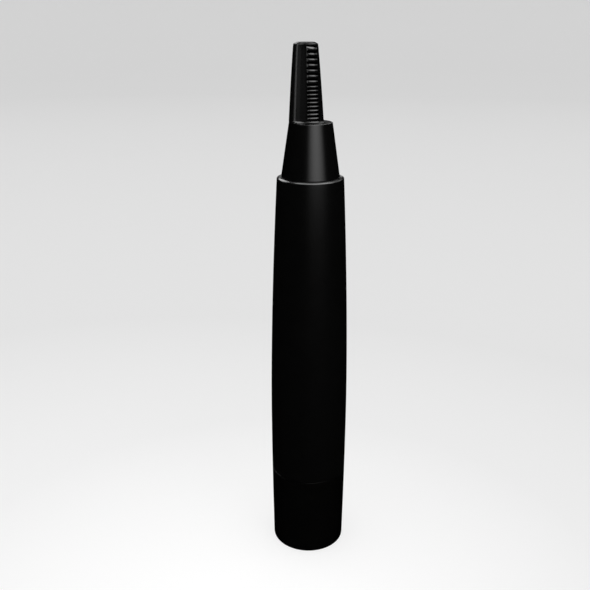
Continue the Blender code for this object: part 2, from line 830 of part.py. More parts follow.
def make_switch_bridge():
    low = CONTACT_Y + STRIP_THICKNESS + 0.05
    return block("switch_bridge", (-1.6, low, 70.5), (1.6, low + 0.2, 77.0), "contact_nickel")


def make_switch_contact():
    high_y = CONTACT_Y + STRIP_THICKNESS
    return block(
        "switch_contact", (-STRIP_HALF_WIDTH, CONTACT_Y, 77.5), (STRIP_HALF_WIDTH, high_y, 85.2), "contact_nickel"
    )


# ---------------------------------------------------------------- head
def make_head_cone():
    spigot = 7.05
    groove = 6.6
    profile = [
        (NECK_TOP_RADIUS - 0.15, NECK_TOP_Z),
        (NECK_TOP_RADIUS, NECK_TOP_Z - 0.12),
        (NECK_BASE_RADIUS, NECK_BASE_Z),
        (spigot, NECK_BASE_Z),
        (spigot, 107.3),
        (groove, 107.3),
        (groove, 106.1),
        (spigot, 106.1),
        (spigot, 103.0),
        (6.2, 103.0),
        (6.2, 112.5),
        (4.9, 123.6),
        (4.9, 124.45),
        (5.35, 124.45),
        (5.35, NECK_TOP_Z),
    ]
    return turned("head_cone", profile, "black_plastic")


def make_head_seal():
    """An O-ring in the spigot's groove."""
    section = 0.24
    centre_radius = 6.9
    centre_z = 106.7
    bpy.ops.mesh.primitive_torus_add(
        major_segments=ROUND_SIDES,
        minor_segments=6,
        major_radius=centre_radius * MM,
        minor_radius=section * MM,
        location=(0.0, 0.0, centre_z * MM),
    )
    ring = bpy.context.object
    mesh = ring.data
    mesh.transform(ring.matrix_world)
    bpy.data.objects.remove(ring, do_unlink=True)
    return add_mesh("head_seal", mesh, "rubber")


def d_outline(radius, flat_x, steps):
    """A circle with its -X side cut off along a line, about the tip's axis."""
    half_angle = math.degrees(math.acos(flat_x / radius))
    return arc(radius, -half_angle, half_angle, steps)


def make_guard_tube():
    """The slotted cone with a flange that sits in the top of the neck."""
    roof_z = TOTAL_HEIGHT - GUARD_ROOF
    profile = [
        (0.0, TOTAL_HEIGHT),
        (TIP_TOP_RADIUS - GUARD_EDGE, TOTAL_HEIGHT),
        (TIP_TOP_RADIUS - GUARD_EDGE * 0.3, TOTAL_HEIGHT - GUARD_EDGE * 0.3),
        (tip_radius(TOTAL_HEIGHT - GUARD_EDGE), TOTAL_HEIGHT - GUARD_EDGE),
        (TIP_BASE_RADIUS, TIP_BASE_Z),
        (TIP_BASE_RADIUS - GUARD_WALL, TIP_BASE_Z),
        (tip_radius(roof_z) - GUARD_WALL, roof_z),
        (0.0, roof_z),
    ]
    guard = lean(turned("guard_tube", profile, "tip_black", closed=False, sides=TIP_SIDES))
    flange_low = LEDGE_Z - FLANGE_THICKNESS
    flange = rod("guard_flange", (0.0, 0.0), FLANGE_RADIUS, flange_low, LEDGE_Z, sides=ROUND_SIDES)
    join(guard, flange)
    hole = [(x + TIP_OFFSET, y) for x, y in d_outline(TIP_BASE_RADIUS - GUARD_WALL + 0.07, -2.6, 20)]
    cut(guard, plate("flange_hole", hole, flange_low - 1.0, LEDGE_Z + 0.2))
    tools = []
    for label, heights, near_y, far_y in (
        ("front", slot_heights(), -SLOT_REACH_Y, -SLOT_FLOOR_Y),
        ("rear", mid_heights(), SLOT_FLOOR_Y, SLOT_REACH_Y),
    ):
        for i, height in enumerate(heights):
            reach = (height - TIP_BASE_Z) / (TOTAL_HEIGHT - TIP_BASE_Z)
            outer_x = SLOT_OUTER_X_BOTTOM + (SLOT_OUTER_X_TOP - SLOT_OUTER_X_BOTTOM) * reach
            tools.append(slot_tool(f"{label}_slot_{i}", height, SLOT_HEIGHT, SLOT_INNER_X, outer_x, near_y, far_y))
    cut(guard, merged_tool("guard_slots", tools))
    return guard


def make_cutter_blade():
    """A half cone that lies against the guard's slotted side, with a comb of its own slots between the guard's."""
    top = TOTAL_HEIGHT - GUARD_ROOF - STROKE / 2 - BLADE_TOP_MARGIN
    bottom = BLADE_BOTTOM
    outset = GUARD_WALL + BLADE_GAP
    outer_top = tip_radius(top) - outset
    outer_bottom = tip_radius(TIP_BASE_Z) - outset
    profile = [
        (outer_top, top),
        (outer_bottom, TIP_BASE_Z),
        (outer_bottom, bottom),
        (outer_bottom - BLADE_WALL, bottom),
        (outer_bottom - BLADE_WALL, TIP_BASE_Z),
        (outer_top - BLADE_WALL, top),
    ]
    blade = lean(turned("cutter_blade", profile, "blade_steel", sides=TIP_SIDES))
    back_x = tip_axis_x(TOTAL_HEIGHT) - 0.4
    reach = NECK_BASE_RADIUS + 2.0
    back = block("blade_back", (-reach, -reach, bottom - 5.0), (back_x, reach, TOTAL_HEIGHT + 5.0))
    cut(blade, back)
    tools = []
    for i, height in enumerate(mid_heights()):
        outer_x = tip_radius(height) - outset - 0.7
        sides = (-SLOT_REACH_Y, SLOT_REACH_Y)
        tools.append(slot_tool(f"blade_slot_{i}", height, BLADE_SLOT_HEIGHT, SLOT_INNER_X, outer_x, *sides))
    cut(blade, merged_tool("blade_slots", tools))
    return blade


def make_blade_carrier():
    """A flange for the return spring, a plug inside the blade and a foot that stands on the tappet."""
    flange_low = 117.2
    flange_high = BLADE_BOTTOM - 0.1
    plug_x = tip_axis_x(flange_high)
    carrier = rod("blade_carrier", (0.0, 0.0), 4.95, flange_low, flange_high, "drive_plastic", TIP_SIDES)
    join(carrier, rod("carrier_plug", (plug_x, 0.0), 3.2, flange_high - 0.6, 122.3, sides=TIP_SIDES))
    join(carrier, rod("carrier_foot", (TAPPET_X, 0.0), 0.9, TAPPET_TOP + 0.2, flange_low + 0.6))
    return carrier


# ---------------------------------------------------------------- assembly
make_housing_shell()
make_chassis()
make_top_plate()
for label, side in (("front", -1), ("rear", 1)):
    make_screw(f"plate_screw_{label}", (0.0, side * POST_Y), 0.55, 95.6, TOP_PLATE_TOP + 0.05, 1.15, 0.9)
for label, side in (("left", -1), ("right", 1)):
    make_screw(f"motor_screw_{label}", (side * MOTOR_SCREW_X, 0.0), 0.75, 85.2, MOTOR_PLATE_TOP + 0.05, 1.3, 0.9)
    make_magnet(f"magnet_{label}", 90 - side * 90)
    make_brush(f"brush_{label}", side)
    make_terminal(f"motor_terminal_{label}", side)
make_negative_strip()
make_positive_contact()
make_motor_can()
make_motor_end_cap()
make_tappet_seal()
make_switch_contact()

lead_radius = 0.3
wire(
    "motor_lead_positive",
    [(-0.95, 0.0, 63.0), (-1.4, 0.0, 63.0), (-1.9, 0.0, 63.4), (-2.2, 0.0, 64.2), (-2.45, 0.0, 64.8)],
    lead_radius,
    "wire_red",
)
wire(
    "motor_lead_negative",
    [
        (1.55, 6.70, 84.0),
        (2.2, 6.60, 84.0),
        (2.8, 6.30, 83.2),
        (2.95, 6.22, 81.5),
        (2.95, 6.22, 69.0),
        (2.95, 6.22, 66.0),
        (3.0, 5.9, 65.2),
        (3.2, 5.0, 64.7),
        (3.5, 2.6, 64.6),
        (3.5, 0.0, 64.6),
    ],
    lead_radius,
    "wire_black",
)

shaft = rod("motor_shaft", (0.0, 0.0), SHAFT_RADIUS, SHAFT_BOTTOM, SHAFT_TOP, "spring_steel")
joint_frame(
    "rotor_joint",
    (0.0, 0.0, CAN_BOTTOM),
    shaft,
    make_armature_core(),
    make_armature_winding(),
    make_commutator(),
    make_drive_cam(),
)
joint_frame("tappet_joint", (TAPPET_X, 0.0, TAPPET_BOTTOM), make_tappet())
joint_frame(
    "switch_joint",
    (0.0, POCKET_Y, KNOB_BOTTOM),
    make_switch_knob(),
    make_switch_slider(),
    make_switch_bridge(),
)
spring = coil("battery_spring", (5.2, 3.2), CAP_FLOOR + 0.55, CELL_BOTTOM - 0.1, 4, 0.3, "spring_steel")
joint_frame(
    "cap_joint",
    (0.0, 0.0, CAP_TOP),
    make_battery_cap(),
    make_cap_seal(),
    make_negative_contact_plate(),
    spring,
)
joint_frame("battery_joint", (0.0, 0.0, CELL_BOTTOM), make_aa_battery())
head_joint = joint_frame(
    "head_joint",
    (0.0, 0.0, NECK_BASE_Z),
    make_head_cone(),
    make_head_seal(),
    make_guard_tube(),
    coil("return_spring", (4.6, 4.6), 119.1, 124.45, 4, 0.18, "spring_steel"),
)
joint_frame(
    "cutter_joint",
    (tip_axis_x(TIP_BASE_Z), 0.0, TIP_BASE_Z),
    make_cutter_blade(),
    make_blade_carrier(),
)
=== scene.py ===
"""Looks of the nose hair trimmer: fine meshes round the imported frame, materials, camera and studio.

Everything is in metres in the frame's own axes: +Z to the tip, +Y to the slider, and -Y to the camera.
Lengths given in millimetres are multiplied by MM where they are used.
"""

import json
import math

import bmesh
import bpy
from mathutils import Matrix, Vector


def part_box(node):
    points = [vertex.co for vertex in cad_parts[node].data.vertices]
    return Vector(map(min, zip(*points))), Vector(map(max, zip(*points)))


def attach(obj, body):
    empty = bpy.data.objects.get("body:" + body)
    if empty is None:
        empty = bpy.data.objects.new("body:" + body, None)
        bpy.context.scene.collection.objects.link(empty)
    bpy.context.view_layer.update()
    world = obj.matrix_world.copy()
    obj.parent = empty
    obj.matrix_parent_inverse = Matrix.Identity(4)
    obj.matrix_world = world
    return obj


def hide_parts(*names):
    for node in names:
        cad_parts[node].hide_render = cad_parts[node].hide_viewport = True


MM = 0.001

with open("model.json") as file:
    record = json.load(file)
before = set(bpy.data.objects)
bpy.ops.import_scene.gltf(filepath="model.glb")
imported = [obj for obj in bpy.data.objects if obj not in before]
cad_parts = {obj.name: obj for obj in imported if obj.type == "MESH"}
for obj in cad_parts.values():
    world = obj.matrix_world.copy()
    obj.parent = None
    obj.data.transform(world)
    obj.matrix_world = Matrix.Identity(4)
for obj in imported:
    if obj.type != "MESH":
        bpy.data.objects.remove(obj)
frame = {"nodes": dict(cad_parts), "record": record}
bpy.context.scene.view_settings.view_transform = "Standard"
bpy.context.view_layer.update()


# ---------------------------------------------------------------- sizes read from the frame
def low(node):
    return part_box(node)[0] / MM


def high(node):
    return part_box(node)[1] / MM


TOP = high("guard_tube").z
SEAM_LOW = high("cap_seal").z - 1.10
SEAM_HIGH = low("housing_shell").z
SHOULDER_TOP = high("housing_shell").z
BELLY_RADIUS = high("housing_shell").x
NECK_TOP = high("head_cone").z
NECK_BASE = SHOULDER_TOP + 0.05
LEDGE = NECK_TOP + 0.08

# Handle outline, as in the design: a barrel that narrows to both ends by one power law
BELLY_Z = 43.5
BASE_DROP = 0.46
SHOULDER_DROP = 2.01
BARREL_POWER = 1.74
SHOULDER_RISE = 0.5
SHOULDER_Z = SHOULDER_TOP - SHOULDER_RISE
SEAM_EDGE = 0.07

# Inside of the handle's shell: the cap's mouth, the cell's bay, the motor's bay and the neck's socket
MOUTH_RADIUS = 9.95
MOUTH_DEPTH = 1.1
CELL_BAY_RADIUS = 9.3
CELL_BAY_TOP = 61.5
MOTOR_BAY_RADIUS = 8.45
MOTOR_BAY_BOTTOM = 63.0
MOTOR_BAY_TOP = 86.5
TAPPET_BAY_RADIUS = 7.6
TAPPET_BAY_BOTTOM = 92.0
SOCKET_RADIUS = 7.2
SOCKET_BOTTOM = 101.3

# Slider's pocket in the shell, and the slot in the pocket for the slider's stem
POCKET_LOW = (-4.2, 9.35, 72.5)
POCKET_HIGH = (4.2, 13.0, 90.5)
POCKET_EDGE = 0.8
STEM_SLOT_LOW = (-1.7, 7.0, 78.0)
STEM_SLOT_HIGH = (1.7, 11.0, 84.0)

# Battery cap: its wall, its collar inside the shell, and the shallow ring on its flat end
CAP_FLOOR = 2.0
CAP_BORE_RADIUS = 8.9
COLLAR_BORE_RADIUS = 8.5
COLLAR_RADIUS = 9.1
COLLAR_HEIGHT = 5.0
BASE_RING_OUTER = 8.6
BASE_RING_INNER = 7.7
BASE_RING_DEPTH = 0.12

# Neck's spigot, with its seal groove, and the bore through the neck
SPIGOT_RADIUS = 7.05
SPIGOT_BOTTOM = 103.0
GROOVE_RADIUS = 6.6
GROOVE_BOTTOM = 106.1
GROOVE_TOP = 107.3
NECK_BORE_RADIUS = 6.2
NECK_BORE_TOP = 112.5
NECK_MOUTH_RADIUS = 4.9
NECK_MOUTH_BOTTOM = 123.6
FLANGE_SEAT_RADIUS = 5.36
FLANGE_SEAT_DEPTH = 0.9

# Neck and tip
NECK_BASE_RADIUS = 7.72
NECK_TOP_RADIUS = 5.66
TIP_BASE_Z = NECK_TOP + 0.05
TIP_BASE_RADIUS = 4.52
TIP_TOP_RADIUS = 3.10
TIP_BULGE = 0.06
TIP_OFFSET = -1.16
TIP_LEAN = -0.0133
GUARD_WALL = 0.62
GUARD_ROOF = 0.8
BLADE_GAP = 0.12
BLADE_WALL = 0.45
BLADE_BACK = 0.4
BLADE_RIM = 0.7
CLEAR = 12.0

# Slots, from the tip's end down
TOP_SLOT_Z = 144.03
COARSE_SLOTS = 7
COARSE_PITCH = 1.30
FINE_SLOTS = 8
FINE_PITCH = 0.955
SLOT_HEIGHT = 0.56
BLADE_SLOT_HEIGHT = 0.36
SLOT_INNER_X = 0.20
SLOT_OUTER_X_TOP = 2.8
SLOT_OUTER_X_BOTTOM = 3.15
SLOT_TILT_TOP = math.radians(3.5)
SLOT_TILT_BOTTOM = math.radians(1.0)

# Guard: its rounded end, the flare at its foot, the flange in the neck's mouth, and the teeth between the
# slots. The flange's outline goes out to FLANGE_REACH, and guard_limit brings it back to FLANGE_RADIUS.
END_FACE_RADIUS = 2.30
END_FACE_EDGE = 0.50
END_RADIUS = 3.08
END_DROP = 0.42
END_EDGE = 0.10
WALL_TOP_MARGIN = 1.2
WALL_FOOT_MARGIN = 1.5
WALL_STEPS = 6
FLARE_HEIGHT = 0.75
FLARE_WIDTH = 1.1
FLARE_STEPS = 8
FLANGE_RADIUS = 5.25
FLANGE_REACH = 9.0
FLANGE_THICKNESS = 0.85
PAD_INNER_X = 0.26
PAD_OUTER_MARGIN = 0.05
PAD_FOOT_MARGIN = 0.75
PAD_RAMP = 0.1
PAD_EASE = 0.3
PAD_ROOT = -0.3
CUT_DEPTH = -2.0
TOOTH_RISE = 0.14
TOOTH_CLEARANCE = 0.03
LIP_SLOPE = 0.60
LIP_HEIGHT = 0.38
LIP_SHARE = 0.72
HOOK_SHARE = 0.94
HOOK_LENGTH = 0.10

# Slider's knob
KNOB_SEAT_Y = 9.5
KNOB_RIDGES = 6
KNOB_MARGIN = 1.0
KNOB_STEPS = 12
RIDGE_DEPTH = 0.32
RIDGE_SHARE = 0.45
KNOB_SHOULDER = 0.7
KNOB_CROWN = 0.22
STEM_LOW = (-1.3, 8.1, 78.2)
STEM_HIGH = (1.3, KNOB_SEAT_Y + 0.4, 80.3)

# Mesh fineness
SIDES = 128
GUARD_SIDES = 192
BLADE_SIDES = 96
FLOOR_SIDES = 96
SHARP_ANGLE = math.radians(30.0)
CAD_SHARP_ANGLE = math.radians(35.0)

# Studio, in metres: the floor, the point the lights face, and the camera
FLOOR_FLAT = 2.0
FLOOR_RIM = 1.0
FLOOR_TOP = 2.5
FLOOR_STEPS = 8
LIGHT_AIM = 0.118
CAMERA_PLACE = (-0.00406, -0.1997, 0.1513)
CAMERA_DOWN = math.radians(20.13)
CAMERA_LENS = 46.65


# ---------------------------------------------------------------- materials
class Shader:
    """A Principled material whose colour, roughness and bump come from procedural nodes."""

    def __init__(self, name, metallic=0.0, specular=0.5):
        self.material = bpy.data.materials.new(name)
        self.material.use_nodes = True
        self.tree = self.material.node_tree
        self.bsdf = self.tree.nodes["Principled BSDF"]
        self.bsdf.inputs["Metallic"].default_value = metallic
        self.bsdf.inputs["Specular IOR Level"].default_value = specular
        self.place = self.node("ShaderNodeTexCoord").outputs["Object"]

    def node(self, kind, **inputs):
        made = self.tree.nodes.new(kind)
        for key, value in inputs.items():
            made.inputs[key.replace("_", " ")].default_value = value
        return made

    def link(self, source, target):
        self.tree.links.new(source, target)

    def noise(self, scale, detail=3.0, stretch=None):
        """Noise at a scale in features per metre, with an optional stretch along each axis."""
        place = self.place
        if stretch:
            mapping = self.node("ShaderNodeMapping")
            mapping.inputs["Scale"].default_value = stretch
            self.link(place, mapping.inputs["Vector"])
            place = mapping.outputs["Vector"]
        made = self.node("ShaderNodeTexNoise", Scale=scale, Detail=detail)
        self.link(place, made.inputs["Vector"])
        return made.outputs["Fac"]

    def remap(self, source, low_value, high_value, from_low=0.3, from_high=0.7):
        made = self.node("ShaderNodeMapRange")
        self.link(source, made.inputs["Value"])
        made.inputs["From Min"].default_value = from_low
        made.inputs["From Max"].default_value = from_high
        made.inputs["To Min"].default_value = low_value
        made.inputs["To Max"].default_value = high_value
        return made.outputs["Result"]

    def colour(self, source, first, second):
        made = self.node("ShaderNodeMix")
        made.data_type = "RGBA"
        made.inputs["A"].default_value = (*first, 1.0)
        made.inputs["B"].default_value = (*second, 1.0)
        self.link(source, made.inputs["Factor"])
        self.link(made.outputs["Result"], self.bsdf.inputs["Base Color"])
        return made

    def roughness(self, source, smooth, rough):
        self.link(self.remap(source, smooth, rough), self.bsdf.inputs["Roughness"])

    def bump(self, source, depth, strength=1.0, below=None):
        """Bump of a real depth in millimetres."""
        made = self.node("ShaderNodeBump", Strength=strength, Distance=depth * MM)
        self.link(source, made.inputs["Height"])
        if below:
            self.link(below, made.inputs["Normal"])
        self.link(made.outputs["Normal"], self.bsdf.inputs["Normal"])
        return made.outputs["Normal"]


def moulded_plastic(name, dark, light, smooth, rough, grain=0.002, specular=0.5):
    """Injection-moulded plastic: fine spark-eroded grain, faint flow marks and handling marks."""
    shader = Shader(name, specular=specular)
    shader.colour(shader.noise(220.0, 4.0), dark, light)
    shader.roughness(shader.noise(90.0, 5.0), smooth, rough)
    flow = shader.bump(shader.noise(260.0, 2.0, stretch=(1.0, 1.0, 0.25)), grain * 2.0, 0.4)
    shader.bump(shader.noise(9000.0, 2.0), grain, 1.0, below=flow)
    return shader.material


def metal(name, dark, light, smooth, rough, stretch=None, grain=0.0015, scale=2500.0):
    """Worked metal with fine tool marks and a patchy polish."""
    shader = Shader(name, metallic=1.0)
    shader.colour(shader.noise(300.0, 4.0), dark, light)
    marks = shader.noise(scale, 3.0, stretch=stretch)
    shader.roughness(marks, smooth, rough)
    shader.bump(marks, grain, 0.6)
    return shader.material


def soft_rubber(name):
    shader = Shader(name, specular=0.3)
    shader.colour(shader.noise(700.0, 4.0), (0.012, 0.012, 0.012), (0.035, 0.034, 0.033))
    shader.roughness(shader.noise(400.0), 0.65, 0.85)
    shader.bump(shader.noise(5000.0), 0.006, 0.6)
    return shader.material


def cell_jacket(name):
    """A plain printed battery jacket: dark green, with a copper-coloured band below its button end."""
    shader = Shader(name, metallic=0.35)
    shader.bsdf.inputs["Coat Weight"].default_value = 0.5
    shader.bsdf.inputs["Coat Roughness"].default_value = 0.15
    split = shader.node("ShaderNodeSeparateXYZ")
    shader.link(shader.place, split.inputs["Vector"])
    band_start = (low("aa_battery").z + 36.0) * MM
    band = shader.remap(split.outputs["Z"], 0.0, 1.0, band_start, band_start + 0.1 * MM)
    mixed = shader.colour(band, (0.012, 0.045, 0.030), (0.42, 0.20, 0.10))
    speck = shader.node("ShaderNodeMix")
    speck.data_type = "RGBA"
    speck.blend_type = "MULTIPLY"
    speck.inputs["Factor"].default_value = 0.4
    shader.link(mixed.outputs["Result"], speck.inputs["A"])
    shader.link(shader.noise(900.0), speck.inputs["B"])
    shader.link(speck.outputs["Result"], shader.bsdf.inputs["Base Color"])
    shader.roughness(shader.noise(200.0), 0.28, 0.40)
    shader.bump(shader.noise(1500.0), 0.002, 0.4)
    return shader.material


def ferrite(name):
    shader = Shader(name, metallic=0.2)
    shader.colour(shader.noise(1800.0, 5.0), (0.035, 0.032, 0.030), (0.09, 0.085, 0.08))
    shader.roughness(shader.noise(600.0), 0.55, 0.75)
    shader.bump(shader.noise(3500.0, 4.0), 0.01, 0.6)
    return shader.material


MATERIALS = {
    "black_plastic": moulded_plastic("satin_black", (0.0006,) * 3, (0.0011,) * 3, 0.225, 0.25),
    "tip_black": moulded_plastic("gloss_black", (0.0010,) * 3, (0.0016,) * 3, 0.19, 0.23, grain=0.0006),
    "blade_steel": metal("black_blade", (0.010, 0.010, 0.011), (0.022, 0.022, 0.024), 0.28, 0.42, (1, 1, 8)),
    "frame_plastic": moulded_plastic(
        "grey_nylon", (0.16, 0.165, 0.17), (0.22, 0.225, 0.23), 0.45, 0.6, 0.006
    ),
    "drive_plastic": moulded_plastic(
        "white_acetal", (0.62, 0.61, 0.57), (0.72, 0.71, 0.67), 0.32, 0.42, 0.003
    ),
    "rubber": soft_rubber("black_rubber"),
    "spring_steel": metal("spring_wire", (0.42, 0.42, 0.42), (0.62, 0.62, 0.61), 0.18, 0.32),
    "contact_nickel": metal("nickel_strip", (0.52, 0.50, 0.45), (0.68, 0.66, 0.60), 0.20, 0.36, (1, 1, 0.1)),
    "motor_steel": metal("zinc_plate", (0.36, 0.37, 0.38), (0.56, 0.57, 0.58), 0.25, 0.45, (1, 1, 0.2)),
    "magnet": ferrite("sintered_ferrite"),
    "copper": metal("enamelled_copper", (0.50, 0.20, 0.09), (0.72, 0.36, 0.18), 0.25, 0.4),
    "cell_jacket": cell_jacket("plain_jacket"),
    "wire_red": moulded_plastic("red_insulation", (0.40, 0.02, 0.015), (0.55, 0.04, 0.03), 0.4, 0.55),
    "wire_black": moulded_plastic("black_insulation", (0.01,) * 3, (0.02,) * 3, 0.4, 0.55),
}


def finish_frame():
    """Give every CAD node the material of its slot."""
    for row in frame["record"]["subparts"]:
        node = frame["nodes"][row["node"]]
        node.data.materials.clear()
        node.data.materials.append(MATERIALS[row["material_slot"]])
        node.data.shade_smooth()
        node.data.set_sharp_from_angle(angle=CAD_SHARP_ANGLE)


# ---------------------------------------------------------------- mesh helpers
def new_object(name, data):
    obj = bpy.data.objects.new(name, data)
    bpy.context.scene.collection.objects.link(obj)
    return obj


def mesh_from(name, work):
    bmesh.ops.remove_doubles(work, verts=work.verts, dist=1e-7)
    bmesh.ops.recalc_face_normals(work, faces=work.faces)
    mesh = bpy.data.meshes.new(name)
    work.to_mesh(mesh)
    work.free()
    mesh.shade_smooth()
    mesh.set_sharp_from_angle(angle=SHARP_ANGLE)
    return mesh


def rounded(corners, steps=4):
    """An (r, z) outline from corners (r, z, fillet radius), with an arc at each corner that has a fillet."""
    points = []
    count = len(corners)
    for i, (radius, height, fillet) in enumerate(corners):
        here = Vector((radius, height))
        before = Vector(corners[i - 1][:2]) - here
        after = Vector(corners[(i + 1) % count][:2]) - here
        if fillet <= 0.0 or before.length == 0.0 or after.length == 0.0:
            points.append(tuple(here))
            continue
        half = before.angle(after) / 2
        setback = fillet / math.tan(half)
        first = here + before.normalized() * setback
        last = here + after.normalized() * setback
        centre = here + (before.normalized() + after.normalized()).normalized() * (fillet / math.sin(half))
        start = first - centre
        end = last - centre
        for step in range(steps + 1):
            way = start.slerp(end, step / steps).normalized() * fillet
            points.append(tuple(centre + way))
    return points


def revolve(name, outline, sides=SIDES, axis_x=None, closed=True, limit=None):
    """Turn an (r, z) outline in millimetres about a vertical axis.

    axis_x(z) shifts each height sideways. limit(r) is how far a point may stand from x = y = 0: a point
    past that is pulled back towards its own axis.
    """
    work = bmesh.new()
    rings = []
    for radius, height in outline:
        shift = axis_x(height) if axis_x else 0.0
        if radius < 1e-6:
            rings.append([work.verts.new((shift * MM, 0.0, height * MM))])
            continue
        ring = []
        for side in range(sides):
            turn = math.tau * side / sides
            reach = radius
            if limit:
                across = shift * math.sin(turn)
                room = math.sqrt(limit(radius) ** 2 - across**2) - shift * math.cos(turn)
                reach = min(radius, room)
            place = (shift + reach * math.cos(turn), reach * math.sin(turn), height)
            ring.append(work.verts.new(Vector(place) * MM))
        rings.append(ring)
    pairs = list(zip(rings, rings[1:]))
    if closed:
        pairs.append((rings[-1], rings[0]))
    for upper, lower in pairs:
        for side in range(sides):
            after = (side + 1) % sides
            corners = [upper[side % len(upper)], lower[side % len(lower)]]
            corners += [lower[after % len(lower)], upper[after % len(upper)]]
            corners = list(dict.fromkeys(corners))
            if len(corners) > 2:
                work.faces.new(corners)
    return new_object(name, mesh_from(name, work))


def loft(name, sections):
    """A closed solid through equal rings of points, in millimetres, with flat ends."""
    work = bmesh.new()
    rings = [[work.verts.new(Vector(point) * MM) for point in section] for section in sections]
    for first, second in zip(rings, rings[1:]):
        for i in range(len(first)):
            after = (i + 1) % len(first)
            work.faces.new((first[i], second[i], second[after], first[after]))
    work.faces.new(rings[0])
    work.faces.new(rings[-1])
    return new_object(name, mesh_from(name, work))


def merged(name, objects):
    """One object from several, which are removed."""
    work = bmesh.new()
    for obj in objects:
        work.from_mesh(obj.data)
        bpy.data.objects.remove(obj, do_unlink=True)
    mesh = bpy.data.meshes.new(name)
    work.to_mesh(mesh)
    work.free()
    return new_object(name, mesh)


def boolean(obj, tool, operation):
    """Apply a Boolean straight away and remove the tool."""
    change = obj.modifiers.new("boolean", "BOOLEAN")
    change.operation = operation
    change.solver = "EXACT"
    change.object = tool
    apply_modifiers(obj)
    obj.data.shade_smooth()
    obj.data.set_sharp_from_angle(angle=SHARP_ANGLE)
    bpy.data.objects.remove(tool, do_unlink=True)


def apply_modifiers(obj):
    bpy.context.view_layer.update()
    evaluated = obj.evaluated_get(bpy.context.evaluated_depsgraph_get())
    mesh = bpy.data.meshes.new_from_object(evaluated)
    obj.modifiers.clear()
    obj.data = mesh


def box_tool(low_corner, high_corner, bevel=0.0, segments=3):
    """A cutter box in millimetres, with rounded edges where bevel is more than zero."""
    work = bmesh.new()
    bmesh.ops.create_cube(work, size=1.0)
    size = (Vector(high_corner) - Vector(low_corner)) * MM
    middle = (Vector(high_corner) + Vector(low_corner)) / 2 * MM
    bmesh.ops.transform(work, matrix=Matrix.Diagonal((*size, 1.0)), verts=work.verts)
    bmesh.ops.translate(work, vec=middle, verts=work.verts)
    if bevel:
        bmesh.ops.bevel(
            work,
            geom=work.edges[:],
            offset=bevel * MM,
            segments=segments,
            profile=0.5,
            affect="EDGES",
        )
    return new_object("tool", mesh_from("tool", work))


def weigh_normals(obj):
    """Let the large faces set the shading normals, so that small fillets don't bend the light on them."""
    change = obj.modifiers.new("weighted", "WEIGHTED_NORMAL")
    change.mode = "FACE_AREA"
    change.keep_sharp = True
    apply_modifiers(obj)


def stand_for(obj, node, body):
    """A finished visible piece: it hides its CAD node, rides on its body and takes the node's slot."""
    weigh_normals(obj)
    slots = {row["node"]: row["material_slot"] for row in frame["record"]["subparts"]}
    obj.data.materials.clear()
    obj.data.materials.append(MATERIALS[slots[node]])
    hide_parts(node)
    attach(obj, body)
    return obj


# ---------------------------------------------------------------- shared outlines
def handle_radius(height):
    if height < BELLY_Z:
        return BELLY_RADIUS - BASE_DROP * ((BELLY_Z - height) / BELLY_Z) ** BARREL_POWER
    reach = (height - BELLY_Z) / (SHOULDER_Z - BELLY_Z)
    return BELLY_RADIUS - SHOULDER_DROP * reach**BARREL_POWER


def handle_side(top, bottom, steps):
    heights = [top + (bottom - top) * i / steps for i in range(steps + 1)]
    return [(handle_radius(height), height, 0.0) for height in heights]


def tip_axis_x(height):
    return TIP_OFFSET + TIP_LEAN * (height - TIP_BASE_Z)


def tip_reach(height):
    return (height - TIP_BASE_Z) / (TOP - TIP_BASE_Z)


def tip_radius(height):
    reach = tip_reach(height)
    bulge = TIP_BULGE * 4 * reach * (1 - reach)
    return TIP_BASE_RADIUS + (TIP_TOP_RADIUS - TIP_BASE_RADIUS) * reach + bulge


def slot_heights():
    heights = [TOP_SLOT_Z - COARSE_PITCH * i for i in range(COARSE_SLOTS + 1)]
    heights += [heights[-1] - FINE_PITCH * (i + 1) for i in range(FINE_SLOTS)]
    return heights


def side_heights(side, heights):
    """The back's slots lie half-way between the front's, so that no line of sight goes straight through."""
    if side < 0:
        return heights
    return [(upper + lower) / 2 for upper, lower in zip(heights, heights[1:])]


def slot_tilt(height):
    return SLOT_TILT_BOTTOM + (SLOT_TILT_TOP - SLOT_TILT_BOTTOM) * tip_reach(height)


def slot_outer_x(height):
    return SLOT_OUTER_X_BOTTOM + (SLOT_OUTER_X_TOP - SLOT_OUTER_X_BOTTOM) * tip_reach(height)


